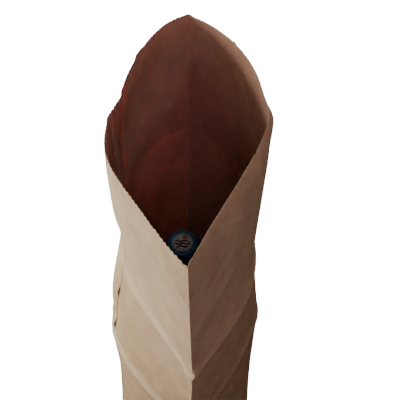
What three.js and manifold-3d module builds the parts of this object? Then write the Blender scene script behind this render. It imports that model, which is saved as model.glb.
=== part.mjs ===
// A tall brown paper sack that stands open, with a capped bottle standing in it.
//
// Millimetres, +Z up. The origin is on the floor, below the middle of the sack's box.
// +X is to the right and -Y is the near side, where the sack has its near crease.
//
// The sack is one flat tube of kraft paper with a pasted block bottom. Flat, it had two side
// creases. Opened, these are the near and the far crease, and its mouth is a pointed arch.
// The paper keeps its width all the way down, so every section has the same two faces: the
// left face and the right face, each from the near crease round a bend to the far crease.

import * as THREE from 'three';
import Module from 'manifold-3d';
import { mergeVertices } from 'three/addons/utils/BufferGeometryUtils.js';

const wasm = await Module();
wasm.setup();

// ---------------------------------------------------------------- driving sizes

const SACK_HEIGHT = 456;
const WALL = 0.8;                // thickness of the solid wall
const FLOOR = 2.4;               // the bottom is several layers of paper
const BASE_LEFT = -75;           // the rectangle that the sack stands on
const BASE_RIGHT = 72;
const BASE_HALF_LENGTH = 98;
const CORNERS_FADE_AT = 205;     // height where the four upright base corners have faded
const CORNER_FADE = 1.7;         // above 1, they fade faster near the floor

// Sections of the sack from the floor up. near and far are the creases, left and right the
// bends between them, as x, y. The other three give each wall its shape, for the near left,
// near right, far left and far right wall. flare is how far the wall swings out beside its
// crease, in radians off the straight line to the bend. reach is the share of the wall that
// runs straight from its crease, and round the share that turns at its bend.
const SECTIONS = [
  { z: 0, near: [0, -164], far: [0, 166], left: [-74, -4], right: [72, 0],
    flare: [0.50, 0.46, 0.60, 0.58], reach: [0.28, 0.28, 0.28, 0.28], round: [0.26, 0.26, 0.26, 0.26] },
  { z: 120, near: [2, -153], far: [0, 156], left: [-71, -14.5], right: [72.5, -7],
    flare: [0.18, 0.11, 0.25, 0.23], reach: [0.28, 0.28, 0.28, 0.28], round: [0.26, 0.26, 0.26, 0.26] },
  { z: 205, near: [5, -148], far: [1, 151], left: [-74, -14], right: [75, -9],
    flare: [0.33, 0.38, 0.50, 0.47], reach: [0.31, 0.22, 0.25, 0.25], round: [0.34, 0.21, 0.23, 0.23] },
  { z: 262, near: [8, -151.5], far: [3, 152.5], left: [-69.5, -17], right: [70.5, -9],
    flare: [0.18, 0.28, 0.58, 0.58], reach: [0.27, 0.29, 0.26, 0.34], round: [0.22, 0.26, 0.24, 0.31] },
  { z: 308, near: [9.5, -153], far: [3.5, 154.5], left: [-60, -11.5], right: [67.5, -15.5],
    flare: [0.05, 0.25, 0.70, 0.62], reach: [0.29, 0.36, 0.42, 0.42], round: [0.26, 0.37, 0.37, 0.37] },
  { z: 332, near: [9, -152.5], far: [4, 153], left: [-58, -10], right: [68, -8],
    flare: [0.13, 0.18, 0.74, 0.61], reach: [0.26, 0.30, 0.40, 0.39], round: [0.19, 0.32, 0.34, 0.34] },
  { z: 400, near: [8, -152], far: [5, 152.5], left: [-56, -8.5], right: [73.5, 0],
    flare: [0.25, 0.09, 0.81, 0.58], reach: [0.30, 0.30, 0.41, 0.35], round: [0.25, 0.29, 0.32, 0.31] },
  { z: 438, near: [7.5, -152], far: [5.5, 152.5], left: [-56, -10], right: [75.5, 4],
    flare: [0.38, 0.04, 0.80, 0.54], reach: [0.28, 0.32, 0.32, 0.32], round: [0.28, 0.25, 0.24, 0.30] },
  { z: 456, near: [7.5, -152], far: [5.5, 153], left: [-57.5, -7], right: [72.5, 9.5],
    flare: [0.49, 0.00, 0.95, 0.55], reach: [0.16, 0.43, 0.28, 0.37], round: [0.25, 0.21, 0.17, 0.34] },
];

// Two level folds go round the sack, where it was folded for storage.
const FOLD_HEIGHTS = [308, 211];
const FOLD_RIDGE = 1.8;          // how far a fold stands out
const FOLD_OVER = 9;             // from its ridge up to the flat paper
const FOLD_UNDER = 20;           // and down to it
const FOLD_FAR_SHARE = 0.15;     // the folds are flat past the bends, and faint at the far crease
const FOLD_TICK = 2.0;           // the upper fold pokes out more on the near crease

// The glued lap runs up the middle of the left face. Its outer edge faces the near side.
const LAP_OUTER_EDGE = 10.5 / 28;  // as shares of the face's width from the near crease
const LAP_INNER_EDGE = 16 / 28;
const LAP_STEP = 0.6;
const LAP_RAMP = 0.07;           // share of the face over which the doubled paper eases in

// The stiff doubled paper of the lap bows the left bend out at the mouth.
const LEFT_LOBE = 7.1;
const LEFT_LOBE_AT = 0.37;       // share of the face
const LEFT_LOBE_WIDTH = 0.13;
const LEFT_LOBE_DEPTH = 125;     // it dies out so far below the rim
const RIGHT_COLLAR = 3;          // the right bend swells just below the rim
const RIGHT_COLLAR_AT = 0.52;
const RIGHT_COLLAR_WIDTH = 0.06;
const RIGHT_COLLAR_DEPTH = 9;

// The mouth is cut with small even teeth. They are whole on the near left wall. On the others
// they are bent flat, and the rim there is a little lower.
const TEETH_PER_FACE = 70;
const TOOTH_DEPTH = 2.4;
const TOOTH_RIGHT_SHARE = 0.4;   // of the depth, on the near right wall
const TOOTH_FAR_SHARE = 0.25;    // and on the far walls
const RIGHT_RIM_DROP = 1.0;
const FAR_RIM_DROP = 0.6;

// The two bottom flaps are pasted over the folded-in ends. These are steps of the underside.
const OUTER_FLAP_REACH = 14;     // the outer flap ends this far past the middle
const INNER_FLAP_STEP = 0.5;
const END_FOLD_STEP = 1.0;

// Mesh of the sack: columns in one face, and rows up the wall.
const FACE_COLUMNS = 28;
const RIM_STEPS = (2 * TEETH_PER_FACE) / FACE_COLUMNS;  // of the toothed rim to one column
const STEP_WIDTH = 0.0035;       // share of a face in which a lap's edge steps up
const ROW_HEIGHTS = [0, 14, 38, 66, 96, 128, 160, 191, 202, 211, 220, 242, 270, 288, 299,
  308, 317, 332, 352, 380, 408, 430, 446];

// The bottle leans a little to the near side on the uneven paper floor.
const BOTTLE_HEIGHT = 312;       // with its cap
const BOTTLE_RADIUS = 44.5;
const BOTTLE_X = -0.5;
const BOTTLE_Y = 29.7;
const BOTTLE_LEAN = THREE.MathUtils.degToRad(8);
const BOTTLE_SIDES = 32;
const FOOT_RADIUS = 36;          // the ring that the bottle stands on
const SHOULDER_TOP = 28;         // from the cap's top down to the top of the shoulder
const SHOULDER_FOOT = 62;        // and down to where the body has its full radius
const NECK_RADIUS = 12.2;
const FLANGE_RADIUS = 16.4;
const GRIP_GROOVES = 4;
const GRIP_PITCH = 24;
const GRIP_LOWEST = 62;
const GRIP_DEPTH = 1.6;

const CAP_RADIUS = 14.3;
const CAP_SKIRT = 14;
const CAP_TOP = 2.4;
const CAP_RIBS = 30;
const CAP_RIB_DEPTH = 0.45;
const BAND_HEIGHT = 3.4;         // the seal band below the skirt
const BAND_GAP = 0.8;
const GAP = 0.3;                 // between pieces that touch

// ---------------------------------------------------------------- small helpers

const mix = (a, b, t) => a + (b - a) * t;

const ease = (from, to, value) => THREE.MathUtils.smoothstep(value, from, to);

const hump = (distance, width) => Math.exp(-((distance / width) ** 2));

// A smooth curve through the values that the sections give at their heights.
function alongHeight(read, z) {
  const last = SECTIONS.length - 1;
  const at = (i) => SECTIONS[THREE.MathUtils.clamp(i, 0, last)];
  let i = 0;
  while (i < last - 1 && z > SECTIONS[i + 1].z) i += 1;
  const slope = (k) => {
    const low = at(k - 1);
    const high = at(k + 1);
    return (read(high) - read(low)) / (high.z - low.z);
  };
  const span = at(i + 1).z - at(i).z;
  const t = (z - at(i).z) / span;
  const t2 = t * t;
  const t3 = t2 * t;
  return (2 * t3 - 3 * t2 + 1) * read(at(i)) + (t3 - 2 * t2 + t) * span * slope(i)
    + (3 * t2 - 2 * t3) * read(at(i + 1)) + (t3 - t2) * span * slope(i + 1);
}

function pointAt(name, z) {
  return new THREE.Vector2(
    alongHeight((section) => section[name][0], z),
    alongHeight((section) => section[name][1], z),
  );
}

// ---------------------------------------------------------------- the paper tube

// One wall in plan, from its crease to its bend: straight at the crease, round at the bend.
function wallCurve(crease, bend, { flare, reach, round }) {
  const line = bend.clone().sub(crease);
  const length = line.length();
  const along = line.clone().divideScalar(length);
  const outward = new THREE.Vector2(Math.sign(line.x), 0);
  outward.addScaledVector(along, -outward.dot(along)).normalize();
  const start = crease.clone()
    .addScaledVector(along, Math.cos(flare) * reach * length)
    .addScaledVector(outward, Math.sin(flare) * reach * length);
  const end = bend.clone();
  end.y -= Math.sign(line.y) * round * length;
  return new THREE.CubicBezierCurve(crease, start, end, bend);
}

function wallShape(wall, z) {
  return {
    flare: alongHeight((section) => section.flare[wall], z),
    reach: alongHeight((section) => section.reach[wall], z),
    round: alongHeight((section) => section.round[wall], z),
  };
}

// A whole face at one height, from the near crease to the far crease, in equal steps.
const CURVE_STEPS = 24;
const faceCache = new Map();

function facePath(face, z) {
  const key = `${face}:${z}`;
  if (faceCache.has(key)) return faceCache.get(key);
  const near = pointAt('near', z);
  const far = pointAt('far', z);
  const bend = pointAt(face, z);
  const side = face === 'left' ? 0 : 1;
  const points = wallCurve(near, bend, wallShape(side, z)).getPoints(CURVE_STEPS);
  const back = wallCurve(far, bend, wallShape(side + 2, z)).getPoints(CURVE_STEPS).reverse();
  points.push(...back.slice(1));
  const lengths = [0];
  for (let i = 1; i < points.length; i += 1) {
    lengths.push(lengths[i - 1] + points[i].distanceTo(points[i - 1]));
  }
  const path = { points, lengths };
  faceCache.set(key, path);
  return path;
}

function alongPath({ points, lengths }, share) {
  const wanted = share * lengths[lengths.length - 1];
  let i = 1;
  while (i < lengths.length - 1 && lengths[i] < wanted) i += 1;
  const t = (wanted - lengths[i - 1]) / (lengths[i] - lengths[i - 1]);
  return points[i - 1].clone().lerp(points[i], t);
}

// The same share of a face on the rectangle that the sack stands on.
function basePoint(face, share) {
  const middle = (BASE_LEFT + BASE_RIGHT) / 2;
  const x = face === 'left' ? BASE_LEFT : BASE_RIGHT;
  const points = [
    new THREE.Vector2(middle, -BASE_HALF_LENGTH), new THREE.Vector2(x, -BASE_HALF_LENGTH),
    new THREE.Vector2(x, BASE_HALF_LENGTH), new THREE.Vector2(middle, BASE_HALF_LENGTH),
  ];
  const short = Math.abs(x - middle);
  const long = short + 2 * BASE_HALF_LENGTH;
  return alongPath({ points, lengths: [0, short, long, long + short] }, share);
}

function sectionPoint(face, share, z) {
  const open = alongPath(facePath(face, z), share);
  const squared = Math.max(0, 1 - z / CORNERS_FADE_AT) ** CORNER_FADE;
  return open.lerp(basePoint(face, share), squared);
}

// How far the paper stands out of its plain section: the folds, and the swells at the mouth.
function relief(face, share, z) {
  let out = 0;
  for (const height of FOLD_HEIGHTS) {
    const crease = Math.min(share, 1 - share);
    const tick = share < 0.5 && height === FOLD_HEIGHTS[0] ? FOLD_TICK * hump(crease, 0.03) : 0;
    const held = 1 - ease(0.42, 0.55, share) + FOLD_FAR_SHARE * ease(0.72, 0.9, share);
    const ridge = FOLD_RIDGE * held;
    const over = THREE.MathUtils.clamp(1 - (z - height) / FOLD_OVER, 0, 1) ** 1.3;
    const under = THREE.MathUtils.clamp(1 + (z - height) / FOLD_UNDER, 0, 1) ** 2;
    out += (ridge + tick) * Math.min(over, under);
  }
  const belowRim = SACK_HEIGHT - z;
  if (face === 'left') {
    const fade = 1 - ease(0.5, 1, belowRim / LEFT_LOBE_DEPTH);
    out += LEFT_LOBE * hump(share - LEFT_LOBE_AT, LEFT_LOBE_WIDTH) * fade;
  } else {
    const swell = hump(belowRim - RIGHT_COLLAR_DEPTH, RIGHT_COLLAR_DEPTH);
    out += RIGHT_COLLAR * hump(share - RIGHT_COLLAR_AT, RIGHT_COLLAR_WIDTH) * swell;
  }
  return out;
}

// The doubled paper of the lap. Each surface steps at the free edge that it shows.
function lapOutside(face, share) {
  if (face !== 'left') return 0;
  const step = ease(LAP_OUTER_EDGE - STEP_WIDTH, LAP_OUTER_EDGE, share);
  return LAP_STEP * step * (1 - ease(LAP_INNER_EDGE, LAP_INNER_EDGE + LAP_RAMP, share));
}

function lapInside(face, share) {
  if (face !== 'left') return 0;
  const step = 1 - ease(LAP_INNER_EDGE, LAP_INNER_EDGE + STEP_WIDTH, share);
  return LAP_STEP * step * ease(LAP_OUTER_EDGE - LAP_RAMP, LAP_OUTER_EDGE, share);
}

// ---------------------------------------------------------------- mesh of the sack

// Columns round the tube: up the left face to the far crease, and back down the right one.
function columnList(perColumn) {
  const left = [];
  const right = [];
  const count = FACE_COLUMNS * perColumn;
  for (let i = 0; i < count; i += 1) {
    left.push({ face: 'left', share: i / count });
    right.push({ face: 'right', share: 1 - i / count });
  }
  if (perColumn === 1) {
    const steps = [LAP_OUTER_EDGE - STEP_WIDTH, LAP_OUTER_EDGE, LAP_INNER_EDGE + STEP_WIDTH];
    left.push(...steps.map((share) => ({ face: 'left', share })));
    left.sort((a, b) => a.share - b.share);
  }
  return left.concat(right);
}

// A ring of plan points shifted outwards. The relief moves each point as it says, and the
// offset, which makes the wall's thickness, is mitred so that it holds at the sharp creases.
function shiftedRing(ring, reliefs, offsets) {
  const count = ring.length;
  const normals = ring.map((point, i) => {
    const edge = ring[(i + 1) % count].clone().sub(point).normalize();
    return new THREE.Vector2(-edge.y, edge.x);
  });
  return ring.map((point, i) => {
    const before = normals[(i + count - 1) % count];
    const after = normals[i];
    const sum = before.clone().add(after);
    const mitre = sum.clone().divideScalar(1 + Math.max(before.dot(after), -0.5));
    const shifted = point.clone().addScaledVector(sum.normalize(), reliefs[i]);
    return shifted.addScaledVector(mitre, offsets[i]);
  });
}

function wallRing(columns, heights, surface) {
  const plain = columns.map(({ face, share }, i) => sectionPoint(face, share, heights[i]));
  const reliefs = columns.map(({ face, share }, i) => relief(face, share, heights[i]));
  const offsets = columns.map(({ face, share }) => {
    if (surface === 'outer') return lapOutside(face, share);
    return -WALL - lapInside(face, share);
  });
  return shiftedRing(plain, reliefs, offsets)
    .map((point, i) => new THREE.Vector3(point.x, point.y, heights[i]));
}

function rimHeights(columns) {
  return columns.map(({ face, share }, i) => {
    const far = ease(0.45, 0.6, share);
    const right = face === 'left' ? 0 : ease(0, 0.03, share);
    const tip = SACK_HEIGHT - mix(RIGHT_RIM_DROP * right, FAR_RIM_DROP, far);
    const depth = TOOTH_DEPTH * mix(mix(1, TOOTH_RIGHT_SHARE, right), TOOTH_FAR_SHARE, far);
    return i % 2 ? tip : tip - depth;
  });
}

function buildSack() {
  const columns = columnList(1);
  const rimColumns = columnList(RIM_STEPS);
  const vertices = [];
  const triangles = [];
  const addRing = (ring) => {
    const first = vertices.length;
    vertices.push(...ring);
    return ring.map((point, i) => first + i);
  };
  const addTriangle = (a, b, c, flip) => triangles.push(...(flip ? [a, c, b] : [a, b, c]));

  const addStrip = (low, high, flip) => {
    low.forEach((a, i) => {
      const next = (i + 1) % low.length;
      addTriangle(a, high[i], high[next], flip);
      addTriangle(a, high[next], low[next], flip);
    });
  };
  // The toothed rim has several points over each column, so each column fans out to them.
  const addFan = (low, high, flip) => {
    const lowShare = columns.map(loopShare);
    const highShare = rimColumns.map(loopShare);
    let i = 0;
    let j = 0;
    while (i < low.length || j < high.length) {
      const nextLow = i < low.length ? (lowShare[i + 1] ?? 1) : Infinity;
      const nextHigh = j < high.length ? (highShare[j + 1] ?? 1) : Infinity;
      const a = low[i % low.length];
      const b = high[j % high.length];
      if (nextHigh <= nextLow) {
        j += 1;
        addTriangle(a, b, high[j % high.length], flip);
      } else {
        i += 1;
        addTriangle(a, b, low[i % low.length], flip);
      }
    }
  };

  const sides = {};
  for (const surface of ['outer', 'inner']) {
    const flip = surface === 'inner';
    const floor = flip ? FLOOR : 0;
    const rings = ROW_HEIGHTS.map((row) => {
      const z = floor + (row * (SACK_HEIGHT - floor)) / SACK_HEIGHT;
      return addRing(wallRing(columns, columns.map(() => z), surface));
    });
    rings.slice(1).forEach((ring, i) => addStrip(rings[i], ring, flip));
    const rim = addRing(wallRing(rimColumns, rimHeights(rimColumns), surface));
    addFan(rings[rings.length - 1], rim, flip);
    const [middle] = addRing([new THREE.Vector3((BASE_LEFT + BASE_RIGHT) / 2, 0, floor)]);
    rings[0].forEach((a, i) => addTriangle(a, rings[0][(i + 1) % rings[0].length], middle, flip));
    sides[surface] = rim;
  }
  addStrip(sides.outer, sides.inner, false);

  const sack = solidFrom(vertices, triangles);
  return underside(sack);
}

function loopShare({ face, share }) {
  return face === 'left' ? share / 2 : 1 - share / 2;
}

// The outer flap lies lowest. The inner flap and the folded-in ends are shallow steps up.
function underside(sack) {
  const middle = (BASE_LEFT + BASE_RIGHT) / 2;
  const half = (BASE_RIGHT - BASE_LEFT) / 2;
  const past = 6;                 // the cutters reach this far past the walls
  const edge = middle + OUTER_FLAP_REACH;
  const y = BASE_HALF_LENGTH;
  const innerFlap = [
    [edge, -y + half - OUTER_FLAP_REACH], [middle + half + past, -y - past],
    [middle + half + past, y + past], [edge, y - half + OUTER_FLAP_REACH],
  ];
  let result = sack.subtract(prism(innerFlap, -1, INNER_FLAP_STEP));
  for (const end of [-1, 1]) {
    const fold = [
      [middle - half - past, end * (y + past)], [middle + half + past, end * (y + past)],
      [edge, end * (y - half + OUTER_FLAP_REACH)], [middle, end * (y - half + OUTER_FLAP_REACH)],
    ];
    result = result.subtract(prism(end < 0 ? fold : fold.reverse(), -1, END_FOLD_STEP));
  }
  return result;
}

// ---------------------------------------------------------------- solids

function solidFrom(vertices, triangles) {
  return new wasm.Manifold(new wasm.Mesh({
    numProp: 3,
    vertProperties: new Float32Array(vertices.flatMap((v) => [v.x, v.y, v.z])),
    triVerts: new Uint32Array(triangles),
  }));
}

function solidOf(geometry) {
  const bare = geometry.clone();
  bare.deleteAttribute('normal');
  bare.deleteAttribute('uv');
  const merged = mergeVertices(bare, 1e-4);
  return new wasm.Manifold(new wasm.Mesh({
    numProp: 3,
    vertProperties: merged.attributes.position.array,
    triVerts: new Uint32Array(merged.index.array),
  }));
}

function prism(outline, low, high) {
  const shape = new THREE.Shape(outline.map(([x, y]) => new THREE.Vector2(x, y)));
  const geometry = new THREE.ExtrudeGeometry(shape, { depth: high - low, bevelEnabled: false });
  return solidOf(geometry.translate(0, 0, low));
}

// A turned solid: r, z pairs from the axis, up the outside and back to the axis.
function turned(profile, sides) {
  const points = profile.map(([r, z]) => new THREE.Vector2(r, z));
  return solidOf(new THREE.LatheGeometry(points, sides).rotateX(Math.PI / 2));
}

function geometryOf(solid) {
  const mesh = solid.getMesh();
  const geometry = new THREE.BufferGeometry();
  geometry.setAttribute('position', new THREE.BufferAttribute(mesh.vertProperties, 3));
  geometry.setIndex(new THREE.BufferAttribute(mesh.triVerts, 1));
  return geometry;
}

// ---------------------------------------------------------------- bottle and cap

const CAP_FOOT = BOTTLE_HEIGHT - CAP_SKIRT;
const BAND_TOP = CAP_FOOT - BAND_GAP;
const BAND_FOOT = BAND_TOP - BAND_HEIGHT;
const NECK_TOP = BOTTLE_HEIGHT - CAP_TOP - GAP;

function buildBottle() {
  const profile = [[0, 5], [22, 3], [30, 0.4], [FOOT_RADIUS, 0], [FOOT_RADIUS + 4, 1.5]];
  profile.push([BOTTLE_RADIUS - 1, 6], [BOTTLE_RADIUS, 12]);
  for (let i = 0; i < GRIP_GROOVES; i += 1) {
    const z = GRIP_LOWEST + i * GRIP_PITCH;
    profile.push([BOTTLE_RADIUS, z - 5], [BOTTLE_RADIUS - GRIP_DEPTH, z - 2]);
    profile.push([BOTTLE_RADIUS - GRIP_DEPTH, z + 2], [BOTTLE_RADIUS, z + 5]);
  }
  const foot = BOTTLE_HEIGHT - SHOULDER_FOOT;
  const top = BOTTLE_HEIGHT - SHOULDER_TOP;
  const neckFoot = NECK_RADIUS + 2;
  const steps = 7;
  for (let i = 0; i <= steps; i += 1) {
    const turn = (i / steps) * (Math.PI / 2);
    const r = mix(neckFoot, BOTTLE_RADIUS, Math.cos(turn));
    profile.push([r, mix(foot, top, Math.sin(turn))]);
  }
  const flange = BAND_FOOT - GAP;
  profile.push([neckFoot, flange - 2.6], [FLANGE_RADIUS, flange - 1.6], [FLANGE_RADIUS, flange]);
  profile.push([NECK_RADIUS, flange], [NECK_RADIUS, NECK_TOP], [0, NECK_TOP]);
  return turned(profile, BOTTLE_SIDES);
}

// A screw cap with a ribbed skirt, joined by a thin web to the seal band below it.
function buildCap() {
  const outline = [];
  for (let i = 0; i < CAP_RIBS * 2; i += 1) {
    const turn = (i / CAP_RIBS) * Math.PI;
    const r = i % 2 ? CAP_RADIUS : CAP_RADIUS - CAP_RIB_DEPTH;
    outline.push([r * Math.cos(turn), r * Math.sin(turn)]);
  }
  const bevel = 0.8;
  const ribFoot = CAP_FOOT + 1;
  const ribTop = BOTTLE_HEIGHT - bevel;
  const inner = CAP_RADIUS - CAP_RIB_DEPTH;
  const web = NECK_RADIUS + GAP + 0.6;
  const body = turned([
    [0, BAND_FOOT], [CAP_RADIUS, BAND_FOOT], [CAP_RADIUS, BAND_TOP], [web, BAND_TOP],
    [web, CAP_FOOT], [CAP_RADIUS, CAP_FOOT], [CAP_RADIUS, ribFoot + 0.4], [inner - 0.4, ribFoot + 0.4],
    [inner - 0.4, ribTop - 0.4], [CAP_RADIUS - 0.2, ribTop - 0.4], [inner, BOTTLE_HEIGHT - 0.2],
    [inner - bevel, BOTTLE_HEIGHT], [0, BOTTLE_HEIGHT],
  ], BOTTLE_SIDES);
  const hollow = turned([
    [0, BAND_FOOT - 1], [NECK_RADIUS + GAP, BAND_FOOT - 1],
    [NECK_RADIUS + GAP, BOTTLE_HEIGHT - CAP_TOP], [0, BOTTLE_HEIGHT - CAP_TOP],
  ], BOTTLE_SIDES);
  return body.add(prism(outline, ribFoot, ribTop)).subtract(hollow);
}

// ---------------------------------------------------------------- the whole part

function piece(name, solid, color, roughness) {
  const material = new THREE.MeshStandardMaterial({ color, roughness, metalness: 0 });
  const mesh = new THREE.Mesh(geometryOf(solid), material);
  mesh.name = name;
  return mesh;
}

// The lowest point of the leaning foot ring rests on the sack's floor.
function standingHeight() {
  return FLOOR + GAP + FOOT_RADIUS * Math.sin(BOTTLE_LEAN);
}

const bottleGroup = new THREE.Group();
bottleGroup.position.set(BOTTLE_X, BOTTLE_Y, standingHeight());
bottleGroup.rotation.x = BOTTLE_LEAN;
bottleGroup.add(piece('bottle', buildBottle(), 0x1f3a44, 0.12));
bottleGroup.add(piece('cap', buildCap(), 0x2c5f9e, 0.45));

const model = new THREE.Group();
model.add(piece('sack', buildSack(), 0xb08a64, 0.9));
model.add(bottleGroup);

export default model;
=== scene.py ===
# %% [markdown]
# # An open paper sack with a bottle standing in it
#
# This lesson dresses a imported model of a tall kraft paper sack. The sack is one flat tube of
# paper, opened, with two long creases, two level storage folds, a glued lap on its left face
# and a mouth cut with small teeth. A capped bottle stands inside.
#
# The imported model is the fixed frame. It gives every size and place in metres, with +Z up and
# the near crease towards -Y. Nothing of it is moved here: finer pieces stand in for its solids.

# %% Load the frame
import math

import bpy
import numpy as np
from mathutils import Matrix, Vector
from mathutils.geometry import delaunay_2d_cdt


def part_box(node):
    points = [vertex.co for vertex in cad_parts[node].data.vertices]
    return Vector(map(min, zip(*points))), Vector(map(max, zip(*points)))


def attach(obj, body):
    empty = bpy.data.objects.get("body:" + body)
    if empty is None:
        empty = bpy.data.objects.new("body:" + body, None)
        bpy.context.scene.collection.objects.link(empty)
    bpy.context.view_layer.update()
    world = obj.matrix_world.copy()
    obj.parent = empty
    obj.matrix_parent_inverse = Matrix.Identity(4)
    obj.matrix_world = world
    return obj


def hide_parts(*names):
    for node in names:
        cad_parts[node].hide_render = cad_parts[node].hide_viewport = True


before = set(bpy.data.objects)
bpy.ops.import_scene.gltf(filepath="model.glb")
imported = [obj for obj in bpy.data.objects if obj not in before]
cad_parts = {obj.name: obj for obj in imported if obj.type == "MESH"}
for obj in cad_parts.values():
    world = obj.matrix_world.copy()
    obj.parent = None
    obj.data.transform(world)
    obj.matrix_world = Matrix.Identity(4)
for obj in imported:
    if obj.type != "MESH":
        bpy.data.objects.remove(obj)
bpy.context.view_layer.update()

MM = 0.001
SACK_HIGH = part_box("sack")[1]
SACK_HEIGHT = SACK_HIGH.z / MM
print("sack is", round(SACK_HEIGHT), "mm tall")

# %% [markdown]
# ## The camera
#
# The photograph looks steeply down along the sack's near crease, so the crease stands upright
# in the picture and both faces fall away from it. A camera could be aimed with a constraint,
# but here its place and tilt are plain numbers, so that it is clear what the view is: about
# 0.53 m in front of the sack's axis, 0.47 m above the mouth, looking 47 degrees down.

# %% Camera
IMAGE_WIDTH = 400                       # pixels of the photograph
FOCAL_PIXELS = 850                      # focal length in the same pixels
SENSOR_WIDTH = 36
CAMERA_TILT = 47                        # degrees below the level
CAMERA_PLACE = Vector((0.0160, -0.5277, 0.926))

camera_data = bpy.data.cameras.new("camera")
camera_data.sensor_fit = "HORIZONTAL"
camera_data.sensor_width = SENSOR_WIDTH
camera_data.lens = SENSOR_WIDTH * FOCAL_PIXELS / IMAGE_WIDTH
camera_data.clip_start = 0.01
camera = bpy.data.objects.new("camera", camera_data)
camera.location = CAMERA_PLACE
camera.rotation_euler = (math.radians(90 - CAMERA_TILT), 0, 0)
bpy.context.scene.collection.objects.link(camera)
bpy.context.scene.camera = camera
print("lens", round(camera_data.lens, 1), "mm")

# %% [markdown]
# ## Shader sums written as Python
#
# A finish is made of noises, masks and mixes. Wiring each Math node by hand hides the idea, so
# one small class wraps a socket and lets it be used in an ordinary sum: `1 - mask * 0.3` adds
# the nodes it needs. Every other node comes from one method of the finish.

# %% Finish and Wire
class Wire:
    """The output of a node, which can be used in sums."""

    def __init__(self, finish, socket):
        self.finish = finish
        self.socket = socket

    def sum(self, operation, left, right):
        return self.finish.node("Math", {"operation": operation}, {0: left, 1: right})

    def __add__(self, other):
        return self.sum("ADD", self, other)

    def __sub__(self, other):
        return self.sum("SUBTRACT", self, other)

    def __mul__(self, other):
        return self.sum("MULTIPLY", self, other)

    def __rsub__(self, other):
        return self.sum("SUBTRACT", other, self)

    __radd__ = __add__
    __rmul__ = __mul__

    def size(self):
        return self.sum("ABSOLUTE", self, 0.0)

    def wave(self):
        return self.sum("SINE", self, 0.0)

    def root(self):
        return self.sum("SQRT", self, 0.0)

    def between(self, low, high):
        """0 at low, 1 at high, and smooth in between."""
        settings = {"interpolation_type": "SMOOTHSTEP", "clamp": True}
        return self.finish.node("MapRange", settings, {0: self, 1: low, 2: high})


class Finish:
    """A material with one Principled shader."""

    def __init__(self, name, **constants):
        self.material = bpy.data.materials.new(name)
        self.material.use_nodes = True
        self.tree = self.material.node_tree
        self.tree.nodes.clear()
        self.shader = self.tree.nodes.new("ShaderNodeBsdfPrincipled")
        output = self.tree.nodes.new("ShaderNodeOutputMaterial")
        self.tree.links.new(self.shader.outputs[0], output.inputs[0])
        for socket, value in constants.items():
            self.shader.inputs[socket.replace("_", " ")].default_value = value

    def node(self, kind, settings, sockets, output=0):
        new = self.tree.nodes.new("ShaderNode" + kind)
        for name, value in settings.items():
            setattr(new, name, value)
        for key, value in sockets.items():
            self.plug(new.inputs[key], value)
        return Wire(self, new.outputs[output])

    def plug(self, socket, value):
        if isinstance(value, Wire):
            self.tree.links.new(value.socket, socket)
        else:
            socket.default_value = value

    def set(self, **sockets):
        for name, value in sockets.items():
            self.plug(self.shader.inputs[name.replace("_", " ")], value)

    def blend(self, factor, low, high, mode="MIX"):
        """Mixes two colours."""
        settings = {"data_type": "RGBA", "blend_type": mode, "clamp_factor": True}
        return self.node("Mix", settings, {0: factor, 6: low, 7: high}, 2)

    def noise(self, place, scale, detail=3.0, roughness=0.5):
        sockets = {"Vector": place, "Scale": scale, "Detail": detail, "Roughness": roughness}
        return self.node("TexNoise", {}, sockets, "Fac")

    def stretch(self, place, factors):
        return self.node("VectorMath", {"operation": "MULTIPLY"}, {0: place, 1: factors})

    def attribute(self, name, output="Vector"):
        return self.node("Attribute", {"attribute_name": name}, {}, output)

    def part(self, vector, axis):
        return self.node("SeparateXYZ", {}, {0: vector}, axis)

    def bump(self, height, distance, strength=1.0):
        sockets = {"Height": height, "Distance": distance, "Strength": strength}
        return self.node("Bump", {}, sockets)


print("Finish and Wire are ready")

# %% [markdown]
# ## The paper tube in plan
#
# Flat, the sack was one tube of paper with two side creases. Opened, every level section has
# two faces of the same width, each from the near crease round a bend to the far crease. A
# loft through modelled curves could give this, but then paper would stretch unnoticed. So each
# section is two Bezier walls a face, measured off in equal lengths, and a point of the paper
# keeps its share of the face all the way down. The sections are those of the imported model.

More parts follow.
